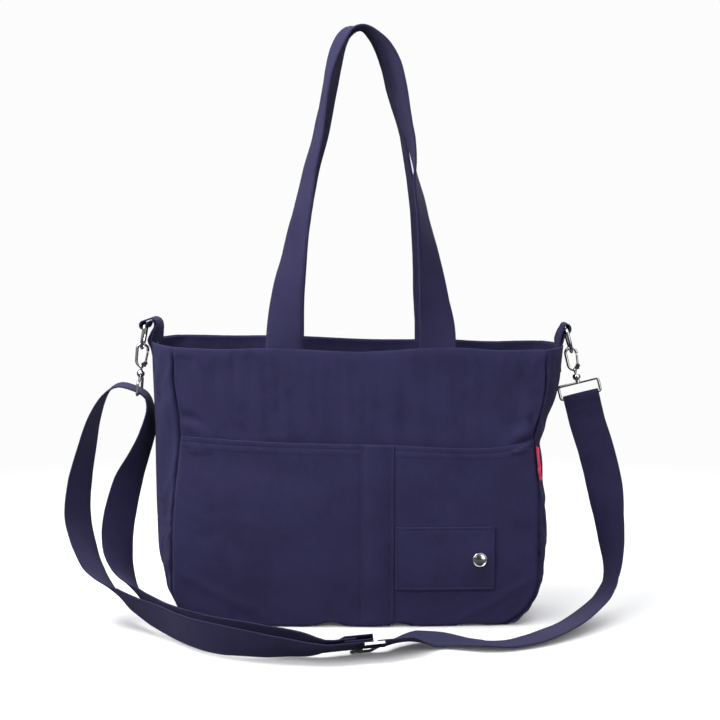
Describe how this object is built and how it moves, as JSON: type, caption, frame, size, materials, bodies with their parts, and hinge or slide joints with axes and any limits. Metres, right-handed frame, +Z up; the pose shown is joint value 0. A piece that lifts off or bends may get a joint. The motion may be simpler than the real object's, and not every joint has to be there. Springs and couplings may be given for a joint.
{
  "type": "diaper bag",
  "caption": "Open-top cloth tote for baby care with a full-width front pocket, snap flap, two carry handles and a clip-on shoulder strap.",
  "frame": {"origin": "middle of the flat base, on the floor", "axes": "+X to the bag's right hand seen from the front, the pocket side faces -Y, +Z up"},
  "size_m": [0.5907, 0.2741, 0.6231],
  "materials": {
    "canvas": "washed cotton twill, navy",
    "handle_canvas": "folded and topstitched cotton twill, navy",
    "strap_webbing": "folded cotton strap, navy",
    "lining_cloth": "plain woven lining, dark",
    "label_cloth": "plain red woven tape",
    "board_plastic": "matt sheet",
    "nickel": "polished nickel plate"
  },
  "bodies": {
    "bag": {"front_panel": "canvas", "back_panel": "canvas", "gusset_band": "canvas", "rim_facing": "canvas", "lining": "lining_cloth", "base_board": "board_plastic", "front_pocket_panel": "canvas", "pocket_divider": "canvas", "snap_stud": "nickel", "snap_post": "nickel", "side_label": "label_cloth", "handle_front_ends": "handle_canvas", "handle_back_ends": "handle_canvas", "ring_tab_left": "canvas", "ring_tab_right": "canvas"},
    "front_handle": {"handle_front": "handle_canvas"},
    "back_handle": {"handle_back": "handle_canvas"},
    "flap": {"wipes_flap": "canvas", "snap_cap": "nickel", "snap_socket": "nickel"},
    "strap": {"shoulder_strap": "strap_webbing", "clasp_left_base": "nickel", "clasp_right_base": "nickel"},
    "slider": {"strap_slider": "nickel", "strap_slider_loop": "strap_webbing"},
    "ring_left": {"ring_left": "nickel"},
    "ring_right": {"ring_right": "nickel"},
    "hook_left": {"clasp_left_hook": "nickel", "clasp_left_gate_pin": "nickel"},
    "hook_right": {"clasp_right_hook": "nickel", "clasp_right_gate_pin": "nickel"},
    "gate_left": {"clasp_left_gate": "nickel"},
    "gate_right": {"clasp_right_gate": "nickel"}
  },
  "joints": [
    {"name": "front_handle_fold", "type": "hinge", "parent": "bag", "child": "front_handle", "pos_m": [0, -0.0528, 0.2896], "axis": [1, 0, 0], "range_deg": [0, 120]},
    {"name": "back_handle_fold", "type": "hinge", "parent": "bag", "child": "back_handle", "pos_m": [0, 0.0512, 0.2896], "axis": [-1, 0, 0], "range_deg": [0, 120]},
    {"name": "flap_open", "type": "hinge", "parent": "bag", "child": "flap", "pos_m": [0.039, -0.07, 0.074], "axis": [0, 0, -1], "range_deg": [0, 140]},
    {"name": "strap_lift", "type": "hinge", "parent": "bag", "child": "strap", "pos_m": [-0.22491, 0, 0.30067], "axis": [-1, 0, 0.0096], "range_deg": [0, 60]},
    {"name": "ring_left_swing", "type": "hinge", "parent": "bag", "child": "ring_left", "pos_m": [-0.223, 0, 0.3115], "axis": [0, 1, 0], "range_deg": [-1.5, 1.5]},
    {"name": "ring_right_swing", "type": "hinge", "parent": "bag", "child": "ring_right", "pos_m": [0.219, 0, 0.307], "axis": [0, 1, 0], "range_deg": [-1.5, 1.5]},
    {"name": "hook_left_swivel", "type": "hinge", "parent": "strap", "child": "hook_left", "pos_m": [-0.22642, 0, 0.29082], "axis": [-0.0872, 0, -0.9962], "range_deg": [-20, 20]},
    {"name": "hook_right_swivel", "type": "hinge", "parent": "strap", "child": "hook_right", "pos_m": [0.22372, 0, 0.28669], "axis": [0.2419, 0, -0.9703], "range_deg": [-20, 20]},
    {"name": "gate_left_open", "type": "hinge", "parent": "hook_left", "child": "gate_left", "pos_m": [-0.2242, 0, 0.27025], "axis": [0, -1, 0], "range_deg": [0, 25]},
    {"name": "gate_right_open", "type": "hinge", "parent": "hook_right", "child": "gate_right", "pos_m": [0.23251, 0, 0.26796], "axis": [0, -1, 0], "range_deg": [0, 25]},
    {"name": "slider_slide", "type": "slide", "parent": "strap", "child": "slider", "axis": [0.9326, 0.361, 0], "range_m": [-0.008, 0.012]}
  ]
}
